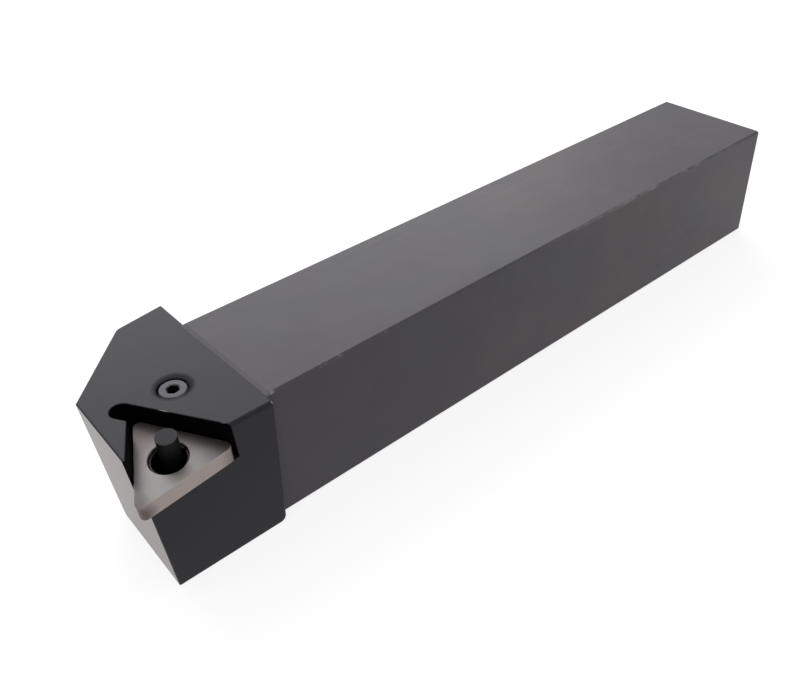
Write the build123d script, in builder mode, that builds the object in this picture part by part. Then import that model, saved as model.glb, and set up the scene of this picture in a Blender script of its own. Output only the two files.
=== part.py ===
"""Lever-lock turning tool holder: a square shank with an offset head and a tilted triangular pocket.

The frame has its origin on the sole of the tool, half way along it and in the middle of the
shank. +X runs along the tool to the cutting nose, +Y to the cutting side, +Z up. Sizes in mm.
"""

import os
from math import atan2, cos, degrees, hypot, radians, sin, tan

from build123d import *

os.makedirs("parts", exist_ok=True)

# ---------------------------------------------------------------- driving dimensions

# shank: the square bar that the tool post clamps
overall_length = 250.0
shank_width = 40.0
shank_height = 40.0
shank_edge = 0.6            # chamfer along the four long edges
tail_edge = 0.5             # chamfer round the tail end

# head: the offset block that carries the pocket
head_length = 38.4          # nose to the shoulder's far top corner, along X
shoulder_skew = 0.9         # degrees, shoulder nearer the nose on the cutting side
shoulder_lean = 1.8         # degrees, shoulder nearer the nose towards the sole
shoulder_foot_round = 1.8   # edge of the shoulder and the sole
top_step_to_nose = 38.4     # where the top steps down to the head
head_top_drop = 0.6         # head top below the shank top, down a 45 degree ramp
near_step = 2.5             # head proud of the shank on the cutting side
far_step = 12.6             # head proud of the shank on the far side, at the shoulder
far_side_length = 14.3      # length of the far side, along X
far_side_taper = 8.0        # degrees, far side closing in towards the nose
corner_cut_angle = 44.6     # degrees from X, slanting face of the far front corner
front_setback = 1.57        # front face's top edge behind the nose, in line with the seat
front_sweep = 2.5           # degrees, front face turned back towards the far side
face_clearance = 4.9        # degrees, front and corner faces lean back towards the sole
far_corner_round = 2.4
near_top_round = 1.0        # top edge of the head on the cutting side
head_edge = 0.25            # fine chamfer on the head's other edges

# seat: the plane that the insert lies on, tilted down towards the nose
seat_tilt_back = 6.0        # degrees, falling towards +X
seat_tilt_side = 6.0        # degrees, falling towards +Y
seat_depth = 7.0            # shim top below the shank's top, at the pocket's centre
seat_to_nose = 12.2         # pocket's centre behind the nose
seat_to_far_side = 35.5     # pocket's centre from the shank's far side
lead_angle = 1.0            # degrees, cutting edge out of line with the shank

# pocket: two walls, open at the nose and at the cutting side
inscribed_circle = 16.0     # size of the triangle
rear_wall_gap = 0.1         # wall to triangle, measured at the head's top
horn_wall_gap = 0.37
wall_tilt = 2.5             # degrees, walls lean over less than the seat is tilted
horn_length = 5.9           # horn wall past its middle, towards the nose
horn_end_angle = 51.0       # degrees, end facet of the horn
relief_width = 5.5          # slot along the rear wall, frees the corner of the insert
relief_reach = 14.4         # centre of the slot's round end past the wall's middle
pocket_edge = 0.15          # chamfer round the pocket's rim

# shim: hard flat plate under the insert
shim_thickness = 4.76
shim_corner_round = 1.6
shim_edge = 0.12
shim_hole_countersink = 0.25

# split sleeve that pins the shim to the body
sleeve_diameter = 9.4
sleeve_wall = 0.5
sleeve_fit = 0.03           # radial gap to the shim and to the body
sleeve_depth = 0.8          # rim below the shim's top
sleeve_length = 8.5
sleeve_slit = 1.2
sleeve_edge = 0.15

# lever: pin, ball-shaped knee and flat arm
pin_diameter = 5.2
pin_height = 6.6            # above the shim
pin_lean_back = 1.25        # pin's top off the bore's axis, towards -X
pin_lean_side = 0.6         # and towards -Y
pin_edge = 0.35
root_diameter = 6.6         # stouter root of the pin, under the sleeve
root_gap = 1.6              # root's end below the sleeve
knee_fit = 0.05             # radial gap of the ball in its bore
knee_depth = 26.0           # centre of the ball below the shank's top
arm_width = 4.6
arm_thickness = 3.4
root_edge = 0.4             # chamfer at the root's end

# clamp screw
screw_to_nose = 22.6        # screw's axis behind the nose
screw_to_far_side = 21.6    # screw's axis from the shank's far side
thread_diameter = 8.0
thread_fit = 0.05           # radial gap, plain cylinders stand for the threads
screw_recess = 0.1          # screw end below the head's top
screw_end_chamfer = 0.55
socket_across_flats = 3.0
socket_depth = 4.5
socket_turn = 19.0          # degrees, from the arm's line
neck_diameter = 4.8
neck_gap = 0.35             # arm's tip to the neck
groove_play_above = 0.45    # groove past the arm, room for the arm to lift
groove_play_below = 0.6     # and to be pressed down
collar_diameter = 7.0
collar_length = 3.4
collar_edge = 0.5
hole_mouth_chamfer = 0.2

# lever slot, milled from the sole
slot_fit = 0.1              # radial gap of the slot round the knee's bore
slot_headroom = 1.2         # slot's roof above the arm

# ---------------------------------------------------------------- planes and places

tail_x = -overall_length / 2
nose_x = overall_length / 2
far_y = -shank_width / 2
near_y = shank_width / 2 + near_step
head_rear_x = nose_x - head_length
head_top = shank_height - head_top_drop
step_x = nose_x - top_step_to_nose
past = 10.0                 # how far a cutting tool runs past what it cuts

# The seat's normal leans towards the nose and the cutting side.
seat_slope_x = tan(radians(seat_tilt_back))
seat_slope_y = tan(radians(seat_tilt_side))
seat_x = nose_x - seat_to_nose
seat_y = far_y + seat_to_far_side
seat_height = shank_height - seat_depth
lead_x = cos(radians(lead_angle))
lead_y = sin(radians(lead_angle))
seat_plane = Plane(
    origin=(seat_x, seat_y, seat_height),
    x_dir=(lead_x, lead_y, -seat_slope_x * lead_x - seat_slope_y * lead_y),
    z_dir=(seat_slope_x, seat_slope_y, 1),
)
floor_plane = seat_plane.offset(-shim_thickness)
rim_plane = seat_plane.offset(-sleeve_depth)

# The knee's centre is where the bore's axis comes down to the knee's height.
seat_normal = seat_plane.z_dir
knee_height = shank_height - knee_depth
knee_drop = (seat_height - knee_height) / seat_normal.Z
knee_centre = seat_plane.origin - seat_normal * knee_drop
screw_x = nose_x - screw_to_nose
screw_y = far_y + screw_to_far_side
arm_run_x = screw_x - knee_centre.X
arm_run_y = screw_y - knee_centre.Y
arm_span = hypot(arm_run_x, arm_run_y)
arm_angle = degrees(atan2(arm_run_y, arm_run_x))
pin_top = seat_plane.origin + seat_normal * pin_height - Vector(pin_lean_back, pin_lean_side, 0)
pin_vector = pin_top - knee_centre
root_length = knee_drop - sleeve_depth - sleeve_length - root_gap
pin_top_plane = Plane(origin=pin_top, z_dir=pin_vector)
root_plane = Plane(origin=knee_centre + pin_vector.normalized() * root_length, z_dir=pin_vector)
arm_plane = Plane(
    origin=knee_centre,
    x_dir=(cos(radians(arm_angle)), sin(radians(arm_angle)), 0),
    z_dir=(0, 0, 1),
)

inscribed_radius = inscribed_circle / 2
knee_radius = sleeve_diameter / 2 - knee_fit
arm_bottom = knee_height - arm_thickness / 2
arm_top = knee_height + arm_thickness / 2
groove_bottom = arm_bottom - groove_play_below
groove_top = arm_top + groove_play_above
screw_top = head_top - screw_recess

# ---------------------------------------------------------------- cutters of the holder

# Pocket: seen from above it is the triangle's corner between the rear wall and the horn wall,
# with a slot along the rear wall. It is milled on a slight slant, down to the tilted floor.
wall_slope = tan(radians(wall_tilt))
wall_direction = (wall_slope, wall_slope, 1)
pocket_plane = Plane(
    origin=(seat_x, seat_y, head_top),
    x_dir=(lead_x, lead_y, 0),
    z_dir=(0, 0, 1),
)
side_tilt = 30.0            # degrees, a triangle's side walls from its upright middle line
rear_wall = inscribed_radius + rear_wall_gap
horn_wall = inscribed_radius + horn_wall_gap
wall_cos = cos(radians(side_tilt))
wall_sin = sin(radians(side_tilt))
corner_x = (horn_wall - rear_wall) / (2 * wall_cos)
corner_y = -(horn_wall + rear_wall) / (2 * wall_sin)
horn_tip_x = horn_wall * wall_cos + horn_length * wall_sin
horn_tip_y = -horn_wall * wall_sin + horn_length * wall_cos
facet_run = past * 2
facet_x = horn_tip_x + facet_run * cos(radians(horn_end_angle))
facet_y = horn_tip_y - facet_run * sin(radians(horn_end_angle))
open_y = inscribed_radius + past
open_rear_x = corner_x - (open_y - corner_y) * wall_sin / wall_cos
relief_radius = relief_width / 2
relief_line = rear_wall - relief_radius
relief_end_x = -relief_line * wall_cos + relief_reach * wall_sin
relief_end_y = -relief_line * wall_sin - relief_reach * wall_cos

with BuildPart() as pocket:
    with BuildSketch(pocket_plane):
        with BuildLine():
            Polyline(
                (corner_x, corner_y),
                (horn_tip_x, horn_tip_y),
                (facet_x, facet_y),
                (facet_x, open_y),
                (open_rear_x, open_y),
                close=True,
            )
        make_face()
        SlotCenterPoint(
            center=(-relief_line * wall_cos, -relief_line * wall_sin),
            point=(relief_end_x, relief_end_y),
            height=relief_width,
        )
    extrude(amount=head_top, dir=wall_direction, both=True)
    split(bisect_by=floor_plane, keep=Keep.TOP)

# ---------------------------------------------------------------- holder body

front_plane = Plane(
    origin=(nose_x - front_setback, seat_y, head_top),
    z_dir=(1, -tan(radians(front_sweep)), -tan(radians(face_clearance))),
)
far_corner_x = head_rear_x + far_side_length
far_rear_y = far_y - far_step
far_corner_y = far_rear_y + far_side_length * tan(radians(far_side_taper))
cut_x = cos(radians(corner_cut_angle))
cut_y = sin(radians(corner_cut_angle))
corner_cut_plane = Plane(
    origin=(far_corner_x, far_corner_y, head_top),
    z_dir=(cut_y, -cut_x, -tan(radians(face_clearance))),
)
shoulder_plane = Plane(
    origin=(head_rear_x, far_y - far_step, head_top),
    z_dir=(1, -tan(radians(shoulder_skew)), tan(radians(shoulder_lean))),
)
block_rear_x = head_rear_x - past
block_rear_y = far_rear_y - past * tan(radians(far_side_taper))
block_front_x = nose_x + past
block_front_y = far_corner_y + (block_front_x - far_corner_x) * cut_y / cut_x

with BuildPart() as holder_body:
    # Head: plan outline, cut back by the two leaning faces and the skew shoulder.
    with BuildSketch(Plane.XY):
        with BuildLine():
            Polyline(
                (block_rear_x, near_y),
                (block_rear_x, block_rear_y),
                (far_corner_x, far_corner_y),
                (block_front_x, block_front_y),
                (block_front_x, near_y),
                close=True,
            )
        make_face()
    extrude(amount=head_top)
    split(bisect_by=front_plane, keep=Keep.BOTTOM)
    split(bisect_by=corner_cut_plane, keep=Keep.BOTTOM)
    split(bisect_by=shoulder_plane, keep=Keep.TOP)

    far_corner_edge = holder_body.edges().sort_by_distance((far_corner_x, far_corner_y, head_top / 2))[0]
    fillet(far_corner_edge, far_corner_round)
    foot_edge = holder_body.edges().sort_by_distance((head_rear_x, 0, 0))[0]
    fillet(foot_edge, shoulder_foot_round)
    near_top_edge = holder_body.edges().sort_by_distance((nose_x - head_length / 2, near_y, head_top))[0]
    fillet(near_top_edge, near_top_round)
    top_edges = holder_body.faces().sort_by(Axis.Z)[-1].edges().sort_by(Axis.Y)
    sole_edges = holder_body.faces().sort_by(Axis.Z)[0].edges()
    chamfer(top_edges[:-1] + sole_edges, head_edge)

    # Shank: a chamfered square bar that runs into the head.
    with BuildSketch(Plane.YZ.offset(tail_x)):
        with Locations((0, shank_height / 2)):
            shank_outline = Rectangle(shank_width, shank_height)
        chamfer(shank_outline.vertices(), shank_edge)
    extrude(amount=head_rear_x + past - tail_x)
    tail_edges = holder_body.faces().sort_by(Axis.X)[0].edges()
    chamfer(tail_edges, tail_edge)

    # Lowered top of the head, milled from a ramp to the nose.
    with BuildSketch(Plane.XZ):
        with BuildLine():
            Polyline(
                (step_x, shank_height),
                (step_x + head_top_drop, head_top),
                (block_front_x, head_top),
                (block_front_x, shank_height),
                close=True,
            )
        make_face()
    extrude(amount=shank_width, both=True, mode=Mode.SUBTRACT)

    # Insert pocket with its relief slot.
    add(pocket.part, mode=Mode.SUBTRACT)
    pocket_rim = holder_body.edges(Select.LAST).filter_by_position(Axis.Z, head_top, head_top)
    chamfer(pocket_rim, pocket_edge)

    # Bore for the sleeve and the lever's knee, square to the seat.
    with BuildSketch(floor_plane):
        Circle(sleeve_diameter / 2)
    extrude(amount=-knee_drop, mode=Mode.SUBTRACT)

    # Slot in the sole, from the knee to the screw, that lets the lever in.
    with BuildSketch(Plane.XY):
        SlotCenterPoint(
            center=((knee_centre.X + screw_x) / 2, (knee_centre.Y + screw_y) / 2),
            point=(screw_x, screw_y),
            height=sleeve_diameter + 2 * slot_fit,
        )
    extrude(amount=arm_top + slot_headroom, mode=Mode.SUBTRACT)

    # Tapped hole for the clamp screw, down through the head into the slot.
    with BuildSketch(Plane.XY.offset(head_top)):
        with Locations((screw_x, screw_y)):
            Circle(thread_diameter / 2)
    extrude(amount=-(head_top - arm_top), mode=Mode.SUBTRACT)

    mouth = holder_body.edges(Select.LAST).filter_by_position(Axis.Z, head_top, head_top)
    chamfer(mouth, hole_mouth_chamfer)

holder_body.part.label = "holder_body"
export_step(holder_body.part, "parts/holder_body.step")

# ---------------------------------------------------------------- shim

with BuildPart() as shim:
    with BuildSketch(seat_plane):
        triangle = RegularPolygon(
            inscribed_radius,
            side_count=3,
            major_radius=False,
            rotation=side_tilt,
            align=(Align.NONE, Align.NONE),
        )
        fillet(triangle.vertices(), shim_corner_round)
        Circle(sleeve_diameter / 2, mode=Mode.SUBTRACT)
    extrude(amount=-shim_thickness)
    shim_faces = shim.faces().sort_by(Axis(seat_plane.origin, seat_normal))
    hole_rim = shim_faces[-1].edges().filter_by(GeomType.CIRCLE).sort_by(SortBy.RADIUS)[-1]
    chamfer(hole_rim, shim_hole_countersink)
    chamfer(shim_faces[-1].outer_wire().edges() + shim_faces[0].outer_wire().edges(), shim_edge)

shim.part.label = "shim"
export_step(shim.part, "parts/shim.step")

# ---------------------------------------------------------------- split sleeve

sleeve_radius = sleeve_diameter / 2 - sleeve_fit

with BuildPart() as shim_sleeve:
    with BuildSketch(rim_plane):
        Circle(sleeve_radius)
        Circle(sleeve_radius - sleeve_wall, mode=Mode.SUBTRACT)
        with Locations((-sleeve_radius, 0)):
            Rectangle(sleeve_radius, sleeve_slit, mode=Mode.SUBTRACT)
    extrude(amount=-sleeve_length)
    rims = shim_sleeve.edges().filter_by(GeomType.CIRCLE)
    chamfer(rims, min(sleeve_edge, sleeve_wall / 3))

shim_sleeve.part.label = "shim_sleeve"
export_step(shim_sleeve.part, "parts/shim_sleeve.step")

# ---------------------------------------------------------------- lever

arm_tip = arm_span - neck_diameter / 2 - neck_gap
arm_round = arm_width / 2

with BuildPart() as lever:
    with Locations(knee_centre):
        Sphere(knee_radius)
    with BuildSketch(pin_top_plane):
        Circle(pin_diameter / 2)
    extrude(amount=-pin_vector.length)
    with BuildSketch(root_plane):
        Circle(root_diameter / 2)
    extrude(amount=-root_length)
    rims = lever.edges().filter_by(GeomType.CIRCLE)
    chamfer(rims.sort_by_distance(root_plane.origin)[0], root_edge)
    chamfer(rims.sort_by_distance(pin_top_plane.origin)[0], pin_edge)
    with BuildSketch(arm_plane.offset(-arm_thickness / 2)):
        SlotCenterPoint(
            center=((arm_tip - arm_round) / 2, 0),
            point=(arm_tip - arm_round, 0),
            height=arm_width,
        )
    extrude(amount=arm_thickness)

lever.part.label = "lever"
export_step(lever.part, "parts/lever.step")

# ---------------------------------------------------------------- clamp screw

screw_radius = thread_diameter / 2 - thread_fit
neck_radius = neck_diameter / 2
collar_radius = collar_diameter / 2
collar_bottom = groove_bottom - collar_length
screw_section = Plane(origin=(screw_x, screw_y, 0), x_dir=(1, 0, 0), z_dir=(0, -1, 0))

with BuildPart() as clamp_screw:
    with BuildSketch(screw_section):
        with BuildLine():
            Polyline(
                (0, collar_bottom),
                (collar_radius - collar_edge, collar_bottom),
                (collar_radius, collar_bottom + collar_edge),
                (collar_radius, groove_bottom),
                (neck_radius, groove_bottom),
                (neck_radius, groove_top),
                (screw_radius - screw_end_chamfer, groove_top),
                (screw_radius, groove_top + screw_end_chamfer),
                (screw_radius, screw_top - screw_end_chamfer),
                (screw_radius - screw_end_chamfer, screw_top),
                (0, screw_top),
                close=True,
            )
        make_face()
    revolve(axis=Axis((screw_x, screw_y, 0), (0, 0, 1)))
    with BuildSketch(Plane(origin=(screw_x, screw_y, screw_top), z_dir=(0, 0, 1))):
        RegularPolygon(
            socket_across_flats / 2,
            side_count=6,
            major_radius=False,
            rotation=arm_angle + socket_turn,
        )
    extrude(amount=-socket_depth, mode=Mode.SUBTRACT)

clamp_screw.part.label = "clamp_screw"
export_step(clamp_screw.part, "parts/clamp_screw.step")

print("clamp screw and lever meet at", round(arm_span, 2), "mm from the knee")
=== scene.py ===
# %% [markdown]
# # A lever-lock turning tool holder
#
# A turning tool holder is a bar of steel that a lathe's tool post clamps by its square shank.
# Its head has a pocket for a small triangular cutting insert, which this holder is shown
# without. What lies in the pocket is the shim, a hard plate that the insert would rest on. The
# pin through its hole is the upper end of an L-shaped lever, and the screw beside it works the
# lever from below.
#
# The solids of all five pieces come ready made, in metres, with +X towards the cutting nose,
# +Y towards the cutting side and +Z up. This lesson gives them their finishes, makes the one
# piece whose shape needs more detail, and sets up the camera and the lights.

import bpy
import numpy as np
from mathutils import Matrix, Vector


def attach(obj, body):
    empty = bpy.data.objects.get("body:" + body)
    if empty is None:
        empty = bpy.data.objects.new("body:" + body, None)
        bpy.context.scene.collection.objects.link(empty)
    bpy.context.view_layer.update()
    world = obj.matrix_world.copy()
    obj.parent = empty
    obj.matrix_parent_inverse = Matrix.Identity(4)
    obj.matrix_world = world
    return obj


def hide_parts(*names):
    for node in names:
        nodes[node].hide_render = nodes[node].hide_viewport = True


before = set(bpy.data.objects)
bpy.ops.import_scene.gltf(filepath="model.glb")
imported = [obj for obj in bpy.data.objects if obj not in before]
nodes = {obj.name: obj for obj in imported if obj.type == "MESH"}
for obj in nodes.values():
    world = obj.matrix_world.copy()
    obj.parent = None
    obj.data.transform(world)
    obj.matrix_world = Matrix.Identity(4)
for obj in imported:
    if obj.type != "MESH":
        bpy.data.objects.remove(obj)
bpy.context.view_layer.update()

print("pieces:", sorted(nodes))

# %% [markdown]
# ## Millimetres, colours and nodes
#
# Three small helpers keep the rest short. Drawings of tools are in millimetres and Blender
# works in metres, so `mm` turns one into the other. Colours are picked on a screen, in sRGB,
# but light adds up in linear numbers, so `linear` undoes the screen's curve. `add` puts one
# node into a material with its settings and its inputs. An input is a plain value, or an
# earlier node or socket, which is then linked.

# %% Helpers for sizes, colours and nodes
mm = 0.001


def linear(hex_colour):
    """sRGB hex to linear RGBA: each channel over 255, then the sRGB curve undone."""
    channels = np.array([int(hex_colour[i:i + 2], 16) for i in (1, 3, 5)]) / 255
    low, high = channels / 12.92, ((channels + 0.055) / 1.055) ** 2.4
    return (*np.where(channels <= 0.04045, low, high).tolist(), 1.0)


def add(tree, kind, inputs=None, **settings):
    """Adds a node, sets its properties, then sets or links its inputs by name or number.

    Sockets that the settings switch off are left out of the count, so a Mix node has only one
    Factor, A and B. A node given as a value is linked from its first live output.
    """
    node = tree.nodes.new(kind)
    for name, value in settings.items():
        setattr(node, name, value)
    live = [socket for socket in node.inputs if socket.enabled]
    for name, value in (inputs or {}).items():
        socket = live[name] if isinstance(name, int) else {s.name: s for s in reversed(live)}[name]
        if isinstance(value, bpy.types.Node):
            value = next(output for output in value.outputs if output.enabled)
        if isinstance(value, bpy.types.NodeSocket):
            tree.links.new(value, socket)
        else:
            socket.default_value = value
    return node


print("mid grey #808080 in linear light:", round(linear("#808080")[0], 3))

# %% [markdown]
# ## The camera
#
# The tool is looked down on from the cutting side, a little in front of the nose. A lens of
# about 40 mm on a sensor 36 mm wide gives the strong perspective of a view from a hand's length
# away: the nose looks large, and the far end of the shank small. The camera is placed by
# numbers rather than by hand, so every render shows the same view.

# %% Camera
camera_data = bpy.data.cameras.new("camera")
camera_data.sensor_width = 36.0
camera_data.lens = 40.59
camera_data.clip_start = 10 * mm
camera = bpy.data.objects.new("camera", camera_data)
camera.location = (169.7 * mm, 169.68 * mm, 178.49 * mm)
camera.rotation_euler = np.radians([53.564, 1.782, 138.603])
bpy.context.scene.collection.objects.link(camera)
bpy.context.scene.camera = camera
print("camera height above the table, mm:", round(camera.location.z / mm))

# %% [markdown]
# ## A white surround
#
# Dark steel shows its shape by what it mirrors, so the tool stands in a white surround. The
# world is white to the camera and to mirrored and see-through rays, and half as strong to the
# soft light that falls on the object. Light Path tells the rays apart, so the background takes
# no extra light on the object.
#
# The floor is a sheet of pale paper under the sole. Its grey takes light and shadow as paper
# does, and a lift, again only for the rays that see the background, brings it up to white.

# %% World and floor
def white_to_the_eye(tree):
    """1 for rays from the camera and for mirrored and see-through rays, 0 for soft light."""
    rays = add(tree, "ShaderNodeLightPath").outputs
    shiny = add(tree, "ShaderNodeMath", {
        0: rays["Is Glossy Ray"], 1: rays["Is Transmission Ray"]}, operation="MAXIMUM")
    return add(tree, "ShaderNodeMath", {
        0: rays["Is Camera Ray"], 1: shiny}, operation="MAXIMUM")


soft_level, floor_lift = 0.50, 0.78
sky = bpy.data.worlds.new("plain_white_surround")
sky.use_nodes = True
sky.node_tree.nodes.clear()
level = add(sky.node_tree, "ShaderNodeMapRange", {
    "Value": white_to_the_eye(sky.node_tree), "To Min": soft_level, "To Max": 1.0})
glow = add(sky.node_tree, "ShaderNodeBackground", {"Color": linear("#FFFFFF"), "Strength": level})
add(sky.node_tree, "ShaderNodeOutputWorld", {"Surface": glow})
bpy.context.scene.world = sky

reach, table = 3.0, -0.05 * mm
floor_mesh = bpy.data.meshes.new("floor")
floor_mesh.from_pydata([(-reach, -reach, table), (reach, -reach, table),
                        (reach, reach, table), (-reach, reach, table)], [], [(0, 1, 2, 3)])
floor = bpy.data.objects.new("floor", floor_mesh)
bpy.context.scene.collection.objects.link(floor)

paper = bpy.data.materials.new("matt_pale_paper")
paper.use_nodes = True
tree = paper.node_tree
tree.nodes.clear()
matt = add(tree, "ShaderNodeBsdfDiffuse", {"Color": linear("#A8A8A8")})
lift = add(tree, "ShaderNodeMath", {0: white_to_the_eye(tree), 1: floor_lift}, operation="MULTIPLY")
white = add(tree, "ShaderNodeEmission", {"Color": linear("#FFFFFF"), "Strength": lift})
sheet = add(tree, "ShaderNodeAddShader", {0: matt, 1: white})
add(tree, "ShaderNodeOutputMaterial", {"Surface": sheet})
floor.data.materials.append(paper)
print("floor:", round(2 * reach), "m wide")

# %% [markdown]
# ## Two soft panels
#
# A long panel hangs over the far side of the tool: from the camera the top faces mirror it, and
# come out lighter than the sides, which mirror the floor in front. A weak one over the camera
# keeps the pocket from going quite black.

# %% Panels
for name, place, length, width, watts in (
    ("long_panel_over_the_far_side", (-0.20, -0.60, 0.52), 1.0, 0.55, 3.2),
    ("panel_over_the_camera", (0.45, 0.55, 0.80), 0.6, 0.6, 1.0),
):
    lamp_data = bpy.data.lights.new(name, "AREA")
    lamp_data.shape = "RECTANGLE"
    lamp_data.size = length
    lamp_data.size_y = width
    lamp_data.energy = watts
    lamp = bpy.data.objects.new(name, lamp_data)
    lamp.location = place
    aim = Vector((0.0, 0.0, 0.02)) - lamp.location
    lamp.rotation_euler = aim.to_track_quat("-Z", "Y").to_euler()
    bpy.context.scene.collection.objects.link(lamp)
    print(name, watts, "W")

# %% [markdown]
# ## Black oxide on the body
#
# The holder is milled and ground from one bar of alloy steel, and then blackened in a hot
# bath. The black is a layer of iron oxide about a micrometre thick, sealed with oil. It keeps
# the surface under it: nearly black seen straight on, light grey seen at a low angle. So the
# material is not a metal to the shader but a dark dielectric. The light face at the nose
# comes from its gloss, and from a lighter colour painted on it, a painted sheen.
#
# The ground shank is a little lighter than the milled head. The solid is used as it comes, so
# the border can't be set face by face. It is worked out from the place on the piece instead:
# the shoulder leans, and the head stands proud of the shank. Object coordinates give the place
# in metres, and the normal tells which way a face looks.

# %% Start of a material, and where the head begins
def start(name):
    """A new material: its node tree, the place on the piece, and the way the face looks."""
    material = bpy.data.materials.new(name)
    material.use_nodes = True
    tree = material.node_tree
    tree.nodes.clear()
    place = add(tree, "ShaderNodeTexCoord").outputs["Object"]
    normal = add(tree, "ShaderNodeNewGeometry").outputs["True Normal"]
    return material, tree, place, add(tree, "ShaderNodeSeparateXYZ", {0: normal}).outputs


def dress(piece, material):
    """Gives a piece one material, in place of what it had."""
    piece.data.materials.clear()
    piece.data.materials.append(material)
    print(piece.name, "is finished in", material.name)


oxide, tree, place, facing = start("black_oxide_on_ground_alloy_steel")
axes = add(tree, "ShaderNodeSeparateXYZ", {0: place}).outputs
shoulder_x, shoulder_lean = 88.7 * mm, 0.0314
shank_side = 20.15 * mm
leaning_x = add(tree, "ShaderNodeMath", {
    0: axes["Z"], 1: shoulder_lean, 2: axes["X"]}, operation="MULTIPLY_ADD")
ahead = add(tree, "ShaderNodeMath", {0: leaning_x, 1: shoulder_x}, operation="GREATER_THAN")
sideways = add(tree, "ShaderNodeMath", {0: axes["Y"]}, operation="ABSOLUTE")
proud = add(tree, "ShaderNodeMath", {0: sideways, 1: shank_side}, operation="GREATER_THAN")
in_head = add(tree, "ShaderNodeMath", {0: ahead, 1: proud}, operation="MAXIMUM")
on_front = add(tree, "ShaderNodeMath", {0: facing["X"], 1: 0.95}, operation="GREATER_THAN")
print("head begins at", round(shoulder_x / mm, 1), "mm on the sole")

# %% [markdown]
# ### Colour of the black
#
# The bath blackens unevenly, so a soft cloud pattern about 12 mm across drifts between two
# near blacks. Wider brownish stains lie on the shank, where the layer is thinner, and more of
# them towards the tail. The front face gets the smoothest finish. It also gets a lighter,
# warmer colour, a painted sheen where the face mirrors the pale floor.

# %% Clouds and stains
clouds = add(tree, "ShaderNodeTexNoise", {
    "Vector": place, "Scale": 1 / (12 * mm), "Detail": 3.0, "Roughness": 0.55})
stains = add(tree, "ShaderNodeTexNoise", {
    "Vector": place, "Scale": 1 / (28 * mm), "Detail": 4.0, "Roughness": 0.6})
shank_black = add(tree, "ShaderNodeMix", {
    "Factor": clouds, "A": linear("#474349"), "B": linear("#525056")}, data_type="RGBA")
to_the_tail = add(tree, "ShaderNodeMapRange", {
    "Value": axes["X"], "From Min": 80 * mm, "From Max": -60 * mm, "To Min": 0.4})
blotch = add(tree, "ShaderNodeMapRange", {
    "Value": stains, "From Min": 0.40, "From Max": 0.66, "To Max": 0.65})
stained = add(tree, "ShaderNodeMath", {0: to_the_tail, 1: blotch}, operation="MULTIPLY")
shank_tone = add(tree, "ShaderNodeMix", {
    "Factor": stained, "A": shank_black, "B": linear("#5E5054")}, data_type="RGBA")
head_black = add(tree, "ShaderNodeMix", {
    "Factor": clouds, "A": linear("#0E0D15"), "B": linear("#181722")}, data_type="RGBA")
# Painted sheen: the front face gets a lighter, warmer colour than the black of the head.
head_tone = add(tree, "ShaderNodeMix", {
    "Factor": on_front, "A": head_black, "B": linear("#5A3F40")}, data_type="RGBA")
black = add(tree, "ShaderNodeMix", {
    "Factor": in_head, "A": shank_tone, "B": head_tone}, data_type="RGBA")
print("clouds 12 mm, stains 28 mm")

# %% [markdown]
# ### Grinding lines and milled grain
#
# The lines of the surface grinder run along the shank. The real ones are about 0.1 mm apart,
# too fine to show here, so they are drawn about 0.8 mm apart: a noise pattern that is squeezed
# across the shank and drawn out along it. The head was milled, and its finish is an even grain.
# The same pattern makes the roughness and a relief a few micrometres deep. Round the screw,
# oil from the thread has left a dull ring of smut.

# %% Roughness and relief
line_length, line_gap, grain_size = 60 * mm, 0.8 * mm, 0.5 * mm
drawn_out = add(tree, "ShaderNodeMapping", {
    "Vector": place, "Scale": (1 / line_length, 1 / line_gap, 1 / line_gap)})
grinding = add(tree, "ShaderNodeTexNoise", {"Vector": drawn_out, "Scale": 1.0, "Detail": 2.0})
grain = add(tree, "ShaderNodeTexNoise", {
    "Vector": place, "Scale": 1 / grain_size, "Detail": 2.0})
lay = add(tree, "ShaderNodeMix", {"Factor": in_head, "A": grinding, "B": grain})
satin = add(tree, "ShaderNodeMapRange", {
    "Value": lay, "From Min": 0.3, "From Max": 0.7, "To Min": 0.35, "To Max": 0.42})
from_screw = add(tree, "ShaderNodeVectorMath", {
    0: place, 1: (101.9 * mm, 1.0 * mm, 39.4 * mm)}, operation="DISTANCE")
smut = add(tree, "ShaderNodeMapRange", {
    "Value": from_screw, "From Min": 5.6 * mm, "From Max": 4.3 * mm, "To Max": 0.40})
dulled = add(tree, "ShaderNodeMath", {0: satin, 1: smut}, operation="ADD")
roughness = add(tree, "ShaderNodeMix", {"Factor": on_front, "A": dulled, "B": 0.24})
relief = add(tree, "ShaderNodeBump", {"Height": lay, "Distance": 0.003 * mm, "Strength": 1.0})
print("grinding lines", line_gap / mm, "mm apart, milled grain", grain_size / mm, "mm")
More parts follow.
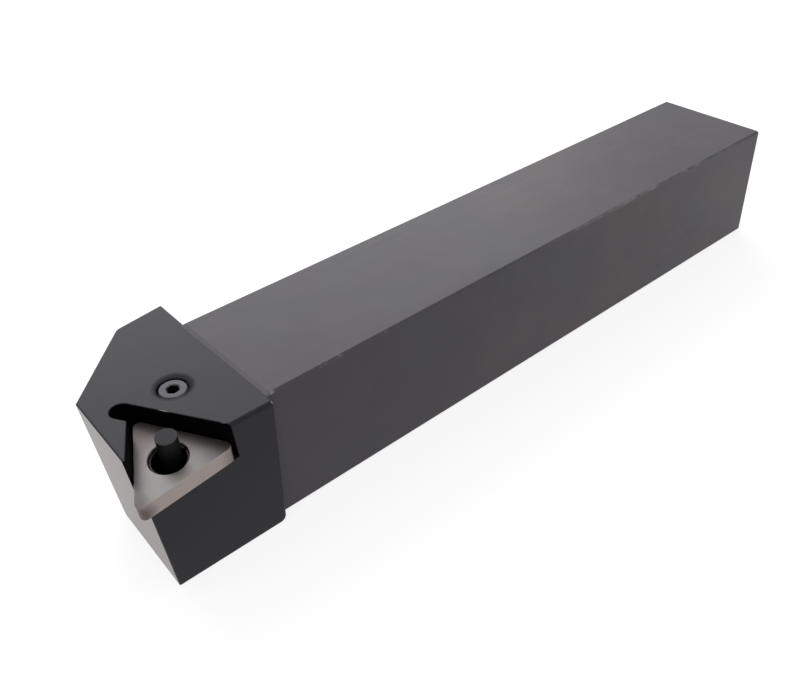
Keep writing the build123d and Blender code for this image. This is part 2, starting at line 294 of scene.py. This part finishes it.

# %% [markdown]
# ### Worn edges and painted highlights
#
# Handling rubs the oxide off the edges first, and bare steel shows. The chamfers are found by
# their slope: on them the normal's Z part is near 0.71, halfway between a top and a side.
# Noise breaks the wear into spots about 7 mm long. A few places get more bare steel, each given
# here by its middle, its reach and its share. Two are painted highlights, where the pocket's rim
# and the end of the shank's edge at the shoulder glint, and one is wear on the rear half of that
# edge. The small ramp between the shank's top and the head's is painted lighter, a painted
# highlight along the step. The corner of the shoulder has a painted highlight, a bright spot of
# bare steel.

# %% Wear and painted highlights
chamfer_slope, slope_spread = 0.707, 0.06
steepness = add(tree, "ShaderNodeMath", {0: facing["Z"]}, operation="ABSOLUTE")
chamfer = add(tree, "ShaderNodeMath", {
    0: steepness, 1: chamfer_slope, 2: slope_spread}, operation="COMPARE")
blotches = add(tree, "ShaderNodeTexNoise", {
    "Vector": place, "Scale": 1 / (7 * mm), "Detail": 5.0, "Roughness": 0.7})
patchy = add(tree, "ShaderNodeMapRange", {
    "Value": blotches, "From Min": 0.35, "From Max": 0.60})
rubbed_and_glinting = add(tree, "ShaderNodeMapRange", {
    "Value": blotches, "From Min": 0.62, "From Max": 0.85})
# The first two spots are painted highlights where the edges glint; the third is wear.
for middle, reach, share in (
    ((107.6, 7.5, 39.3), 2.2, 1.0),
    ((86.0, 20.0, 39.8), 1.2, 0.7),
    ((-63.0, 20.0, 39.7), 60.0, 0.35),
):
    away = add(tree, "ShaderNodeVectorMath", {
        0: place, 1: tuple(mm * side for side in middle)}, operation="DISTANCE")
    near = add(tree, "ShaderNodeMapRange", {
        "Value": away, "From Min": reach * mm, "From Max": 0.3 * reach * mm, "To Max": share})
    spot = add(tree, "ShaderNodeMath", {0: near, 1: patchy}, operation="MULTIPLY")
    rubbed_and_glinting = add(tree, "ShaderNodeMath", {0: rubbed_and_glinting, 1: spot}, operation="MAXIMUM")
# Painted highlight: the ramp at the step is mixed towards bare steel as a light line.
ramp_end, ramp_glint_share = 88 * mm, 0.27
ramp_slope = add(tree, "ShaderNodeMath", {0: facing["X"], 1: 0.65}, operation="GREATER_THAN")
ramp_place = add(tree, "ShaderNodeMath", {0: axes["X"], 1: ramp_end}, operation="LESS_THAN")
ramp = add(tree, "ShaderNodeMath", {0: ramp_slope, 1: ramp_place}, operation="MULTIPLY")
ramp_highlight = add(tree, "ShaderNodeMath", {0: ramp, 1: ramp_glint_share}, operation="MULTIPLY")
rubbed_and_glinting = add(tree, "ShaderNodeMath", {0: rubbed_and_glinting, 1: ramp_highlight}, operation="MAXIMUM")
edges = add(tree, "ShaderNodeMath", {0: chamfer, 1: rubbed_and_glinting}, operation="MULTIPLY")
# Painted highlight: a bright spot of bare steel at the shoulder's corner.
from_corner = add(tree, "ShaderNodeVectorMath", {
    0: place, 1: (87.4 * mm, 22.2 * mm, 39.1 * mm)}, operation="DISTANCE")
corner_glint = add(tree, "ShaderNodeMapRange", {
    "Value": from_corner, "From Min": 0.6 * mm, "From Max": 0.3 * mm})
worn_and_glinting = add(tree, "ShaderNodeMath", {0: edges, 1: corner_glint}, operation="MAXIMUM")
print("wear spots 7 mm")

# %% [markdown]
# ### The pocket's walls
#
# The walls of the pocket are painted with shade: they stand deep in a recess and are made the
# blackest part of the tool. Inside the outline of the head they are the only upright faces that
# look towards +Y, so the normal and the place pick them out. A dielectric can't mirror less
# than its index says, so here the shader is a rough metal with almost no colour, which mirrors
# almost nothing: a dark sheet of painted shade. The index of 1.33 is lower than that of solid
# oxide. It was picked for the weak gloss of the other faces.

# %% Pocket walls and the body's shader
near_side = 22.3 * mm
upright = add(tree, "ShaderNodeMath", {0: steepness, 1: 0.25}, operation="LESS_THAN")
towards_y = add(tree, "ShaderNodeMath", {0: facing["Y"], 1: 0.2}, operation="GREATER_THAN")
inside = add(tree, "ShaderNodeMath", {0: axes["Y"], 1: near_side}, operation="LESS_THAN")
pocket_walls_shaded = in_head
for test in (upright, towards_y, inside):
    pocket_walls_shaded = add(tree, "ShaderNodeMath", {0: pocket_walls_shaded, 1: test}, operation="MULTIPLY")
# Painted shade: the pocket's walls are mixed to a near black that mirrors almost nothing.
tone_with_wall_shade = add(tree, "ShaderNodeMix", {
    "Factor": pocket_walls_shaded, "A": black, "B": linear("#0A080A")}, data_type="RGBA")
body_tone = add(tree, "ShaderNodeMix", {
    "Factor": worn_and_glinting, "A": tone_with_wall_shade, "B": linear("#A6A5A6")}, data_type="RGBA")
metal = add(tree, "ShaderNodeMath", {0: worn_and_glinting, 1: pocket_walls_shaded}, operation="MAXIMUM")
body_roughness = add(tree, "ShaderNodeMix", {"Factor": pocket_walls_shaded, "A": roughness, "B": 0.85})
shader = add(tree, "ShaderNodeBsdfPrincipled", {
    "Base Color": body_tone, "Metallic": metal, "Roughness": body_roughness,
    "Normal": relief, "IOR": 1.33})
add(tree, "ShaderNodeOutputMaterial", {"Surface": shader})
dress(nodes["holder_body"], oxide)

# %% [markdown]
# ## Ground carbide of the shim
#
# The shim is cemented tungsten carbide, pressed, sintered and ground flat. Carbide is a true
# metal to the eye, darker than steel, with a dull satin from the grinding wheel, and its sides
# are a little warmer than its faces. Shade is painted on the top: darker along the pocket's
# rear wall and towards the corners, where the walls shade it, and lightest in the middle. The
# side of the corner at the nose is darker too.

# %% Tone of the carbide
carbide, tree, place, facing = start("ground_tungsten_carbide")
rear_wall_way = Vector((-0.857, -0.515, 0.0))
plate_middle, inscribed_radius = Vector((112.8, 15.5, 33.0)), 8.0 * mm
rear_edge = rear_wall_way.dot(plate_middle * mm) + inscribed_radius
smoky = add(tree, "ShaderNodeTexNoise", {
    "Vector": place, "Scale": 1 / (5 * mm), "Detail": 3.0})
face_tone = add(tree, "ShaderNodeMix", {
    "Factor": smoky, "A": linear("#807F82"), "B": linear("#908B87")}, data_type="RGBA")
on_top = add(tree, "ShaderNodeMath", {0: facing["Z"], 1: 0.9}, operation="GREATER_THAN")
plate_tone_before_shade = add(tree, "ShaderNodeMix", {
    "Factor": on_top, "A": linear("#958B87"), "B": face_tone}, data_type="RGBA")
# Painted shade: darker along the rear wall and towards the corners of the top.
to_the_wall = add(tree, "ShaderNodeVectorMath", {
    0: place, 1: tuple(rear_wall_way)}, operation="DOT_PRODUCT")
rear_wall_shade = add(tree, "ShaderNodeMapRange", {
    "Value": to_the_wall, "From Min": rear_edge - 4.2 * mm, "From Max": rear_edge - 0.3 * mm,
    "To Max": 0.75})
from_middle = add(tree, "ShaderNodeVectorMath", {
    0: place, 1: (117.0 * mm, 20.0 * mm, 32.4 * mm)}, operation="DISTANCE")
away_from_middle_shade = add(tree, "ShaderNodeMapRange", {
    "Value": from_middle, "From Min": 5.0 * mm, "From Max": 15.0 * mm, "To Max": 0.75})
corner_shade = add(tree, "ShaderNodeMath", {0: away_from_middle_shade, 1: on_top}, operation="MULTIPLY")
from_nose = add(tree, "ShaderNodeVectorMath", {
    0: place, 1: (125.0 * mm, 22.0 * mm, 28.0 * mm)}, operation="DISTANCE")
nose_darkening = add(tree, "ShaderNodeMapRange", {
    "Value": from_nose, "From Min": 5.0 * mm, "From Max": 2.0 * mm, "To Max": 0.85})
shade_and_darkening = rear_wall_shade
for more in (corner_shade, nose_darkening):
    shade_and_darkening = add(tree, "ShaderNodeMath", {0: shade_and_darkening, 1: more}, operation="MAXIMUM")
darkened_plate_tone = add(tree, "ShaderNodeMix", {
    "Factor": shade_and_darkening, "A": plate_tone_before_shade, "B": linear("#4A4242")}, data_type="RGBA")
print("rear edge of the shim at", round(rear_edge / mm, 1), "mm towards the wall")

# %% [markdown]
# The wheel leaves straight lines across the plate. The real ones are 0.05 mm apart and are
# drawn 0.25 mm apart, so that they show. As on the shank, a noise pattern is squeezed one way
# and drawn out the other, here turned by 28 degrees across the plate.

# %% Lay of the carbide
wheel_turn = np.radians(-28)
along_wheel = add(tree, "ShaderNodeMapping", {
    "Vector": place, "Rotation": (0.0, 0.0, wheel_turn),
    "Scale": (1 / (9 * mm), 1 / (0.25 * mm), 1 / (0.25 * mm))})
lay = add(tree, "ShaderNodeTexNoise", {"Vector": along_wheel, "Scale": 1.0, "Detail": 2.0})
satin = add(tree, "ShaderNodeMapRange", {
    "Value": lay, "From Min": 0.3, "From Max": 0.7, "To Min": 0.33, "To Max": 0.42})
relief = add(tree, "ShaderNodeBump", {"Height": lay, "Distance": 0.0015 * mm, "Strength": 1.0})
shader = add(tree, "ShaderNodeBsdfPrincipled", {
    "Base Color": darkened_plate_tone, "Metallic": 1.0, "Roughness": satin, "Normal": relief})
add(tree, "ShaderNodeOutputMaterial", {"Surface": shader})
dress(nodes["shim"], carbide)

# %% [markdown]
# ## Spring steel of the sleeve
#
# The sleeve is rolled from a strip of spring steel and tempered, which leaves a dark blotchy
# skin that is smooth to the eye. Its rim, which faces up, is painted lighter, a painted
# highlight that shows as a thin light ring in the hole of the shim.

# %% Sleeve
spring, tree, place, facing = start("tempered_spring_steel")
skin = add(tree, "ShaderNodeTexNoise", {
    "Vector": place, "Scale": 1 / (1.5 * mm), "Detail": 3.0})
skin_tone = add(tree, "ShaderNodeMix", {
    "Factor": skin, "A": linear("#1B1A1A"), "B": linear("#2C2A29")}, data_type="RGBA")
# Painted highlight: the up-facing rim is lighter than the skin.
rim_highlight = add(tree, "ShaderNodeMath", {0: facing["Z"], 1: 0.6}, operation="GREATER_THAN")
sleeve_tone = add(tree, "ShaderNodeMix", {
    "Factor": rim_highlight, "A": skin_tone, "B": linear("#45413F")}, data_type="RGBA")
smoothness = add(tree, "ShaderNodeMapRange", {"Value": skin, "To Min": 0.24, "To Max": 0.40})
shader = add(tree, "ShaderNodeBsdfPrincipled", {
    "Base Color": sleeve_tone, "Metallic": 1.0, "Roughness": smoothness})
add(tree, "ShaderNodeOutputMaterial", {"Surface": shader})
dress(nodes["shim_sleeve"], spring)

# %% [markdown]
# ## Black oxide on the forged lever
#
# The lever is forged, so its skin is finely pitted, and blackened like the body. Only the end
# of its pin is rubbed by the inserts: the end is greyer than the rest, and the chamfer round it
# is a lighter ring.

# %% Lever
forged, tree, place, facing = start("black_oxide_on_forged_steel")
pits = add(tree, "ShaderNodeTexNoise", {
    "Vector": place, "Scale": 1 / (0.6 * mm), "Detail": 4.0, "Roughness": 0.6})
skin_tone = add(tree, "ShaderNodeMix", {
    "Factor": pits, "A": linear("#030303"), "B": linear("#08080A")}, data_type="RGBA")
pin_end = add(tree, "ShaderNodeMath", {0: facing["Z"], 1: 0.9}, operation="GREATER_THAN")
ended = add(tree, "ShaderNodeMix", {
    "Factor": pin_end, "A": skin_tone, "B": linear("#28252A")}, data_type="RGBA")
ring_height = 38.6 * mm
height = add(tree, "ShaderNodeSeparateXYZ", {0: place}).outputs["Z"]
near_end = add(tree, "ShaderNodeMath", {0: height, 1: ring_height}, operation="GREATER_THAN")
sloping = add(tree, "ShaderNodeMath", {0: facing["Z"], 1: 0.7, 2: 0.2}, operation="COMPARE")
ring = add(tree, "ShaderNodeMath", {0: near_end, 1: sloping}, operation="MULTIPLY")
lever_tone = add(tree, "ShaderNodeMix", {
    "Factor": ring, "A": ended, "B": linear("#4E4A4E")}, data_type="RGBA")
roughness = add(tree, "ShaderNodeMapRange", {"Value": pits, "To Min": 0.36, "To Max": 0.52})
relief = add(tree, "ShaderNodeBump", {"Height": pits, "Distance": 0.02 * mm, "Strength": 1.0})
shader = add(tree, "ShaderNodeBsdfPrincipled", {
    "Base Color": lever_tone, "Roughness": roughness, "Normal": relief, "IOR": 1.30})
add(tree, "ShaderNodeOutputMaterial", {"Surface": shader})
dress(nodes["lever"], forged)

# %% [markdown]
# ## Hardened steel of the screw
#
# The screw is hardened and blackened, and its end is worn to a satin grey by the key. The skin
# is mottled on the scale of a millimetre or so.

# %% Screw steel
hardened, tree, place, facing = start("blackened_hardened_steel")
mottle = add(tree, "ShaderNodeTexNoise", {
    "Vector": place, "Scale": 1 / (1.2 * mm), "Detail": 4.0})
screw_tone = add(tree, "ShaderNodeMix", {
    "Factor": mottle, "A": linear("#424145"), "B": linear("#4E4D52")}, data_type="RGBA")
satin = add(tree, "ShaderNodeMapRange", {"Value": mottle, "To Min": 0.34, "To Max": 0.46})
shader = add(tree, "ShaderNodeBsdfPrincipled", {
    "Base Color": screw_tone, "Metallic": 1.0, "Roughness": satin})
add(tree, "ShaderNodeOutputMaterial", {"Surface": shader})
print("finishes:", [material.name for material in bpy.data.materials])

# %% [markdown]
# ## The shape of the clamp screw
#
# The screw is turned from a rod: a rolled thread of 8 mm with a pitch of 1 mm, a deep groove
# that the lever's arm lies in, a collar below it, and a hexagonal socket of 3 mm in its top.
# The solid that came with the frame has a plain cylinder for the thread. A thread climbs as it
# goes round, so a turned profile isn't enough, and the whole screw is made as one surface: at
# each height and angle a formula gives the distance from the axis.

# %% Formulas of the screw
axis_x, axis_y = 102.4, 1.6
crest, thread_depth, pitch = 3.95, 0.61, 1.0
flank_slope, flat_share = 2.6, 0.15
across_flats = 3.0
socket_turn = np.radians(-106.22)
angles = np.linspace(0, 2 * np.pi, 96, endpoint=False)


def thread_radius(height, angle):
    """Distance from the axis: the crest, less a flat-topped wave that climbs a pitch a turn."""
    turn = (height / pitch - angle / (2 * np.pi)) % 1.0
    wave = np.clip(flank_slope * np.abs(turn - 0.5) - flat_share, 0, 1)
    return crest - thread_depth * wave


def hexagon_radius(angle, across):
    """Distance from the middle to a hexagon's side: half the width over flats, over the cosine
    of the angle from the middle of that side."""
    part = (angle - socket_turn) % (np.pi / 3) - np.pi / 6
    return across / 2 / np.cos(part)


print("root of the thread, mm:", round(crest - thread_depth, 2))

# %% [markdown]
# The rows of the surface go up from the collar, round the groove, up the thread, over the end,
# and down into the socket. Each end of the thread is cut back by a cone of 45 degrees, as on a
# real screw, by taking the smaller of the two radii. The first and last rows are closed by a
# fan of triangles to a tip on the axis.

# %% Rows of the screw
collar_low, groove_low, thread_low, top = 8.3, 11.7, 16.15, 39.3
end_cut = 0.6
collar_radius, collar_edge, neck_radius = 3.5, 0.5, 2.4
turned_rows = [(collar_low, collar_radius - collar_edge),
               (collar_low + collar_edge, collar_radius), (groove_low, collar_radius),
               (groove_low, neck_radius), (thread_low, neck_radius)]
thread_heights = np.linspace(thread_low, top, 230)
cone = crest - end_cut + np.minimum(thread_heights - thread_low, top - thread_heights)
thread = np.minimum(thread_radius(thread_heights[:, None], angles), cone[:, None])
socket_mouth, socket_rim, socket_floor, drill_point = 1.88, top - 0.18, top - 4.5, top - 5.3
around = np.ones_like(angles)
hexagon = hexagon_radius(angles, across_flats)
heights = np.concatenate([[height for height, radius in turned_rows], thread_heights,
                          [top, socket_rim, socket_floor]])
radii = np.vstack([radius * around for height, radius in turned_rows]
                  + [thread, socket_mouth * around, hexagon, hexagon])
print("rows and columns:", radii.shape)

# %% [markdown]
# A mesh is a list of points and a list of faces that name the points by number. The points are
# numbered row by row, so each face takes two neighbours from one row and two from the next, and
# rolling the numbers by one closes the skin round the axis. The thread's edges are steep and
# stay sharp, and the rest is shaded smooth.

# %% Mesh of the screw
def turned_mesh(name, heights, radii, low_tip, high_tip):
    """A closed skin round the screw's axis: x and y are the axis plus the radius times the
    cosine and sine of the angle, z is the height, and each four neighbours make a face."""
    rows, count = radii.shape
    x = axis_x + radii * np.cos(angles)
    y = axis_y + radii * np.sin(angles)
    z = np.broadcast_to(heights[:, None], radii.shape)
    skin = np.stack([x, y, z], axis=-1).reshape(-1, 3)
    tips = np.array([(axis_x, axis_y, low_tip), (axis_x, axis_y, high_tip)])
    here = np.arange(rows * count).reshape(rows, count)
    beside = np.roll(here, -1, axis=1)
    quads = np.stack([here[:-1], beside[:-1], beside[1:], here[1:]], axis=-1).reshape(-1, 4)
    low_fan = np.stack([np.full(count, rows * count), beside[0], here[0]], axis=-1)
    high_fan = np.stack([np.full(count, rows * count + 1), here[-1], beside[-1]], axis=-1)
    mesh = bpy.data.meshes.new(name)
    mesh.from_pydata((np.vstack([skin, tips]) * mm).tolist(), [],
                     quads.tolist() + low_fan.tolist() + high_fan.tolist())
    mesh.shade_smooth()
    mesh.set_sharp_from_angle(angle=np.radians(20))
    return mesh


screw_mesh = turned_mesh("threaded_clamp_screw", heights, radii, collar_low, drill_point)
screw = bpy.data.objects.new("threaded_clamp_screw", screw_mesh)
bpy.context.scene.collection.objects.link(screw)
dress(screw, hardened)
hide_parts("clamp_screw")
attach(screw, "screw")
print("screw faces:", len(screw_mesh.polygons))

# %% [markdown]
# ## Finish
#
# The last cell sets the view transform, so that colours show as they were picked.

# %% Finish
bpy.context.scene.view_settings.view_transform = "Standard"
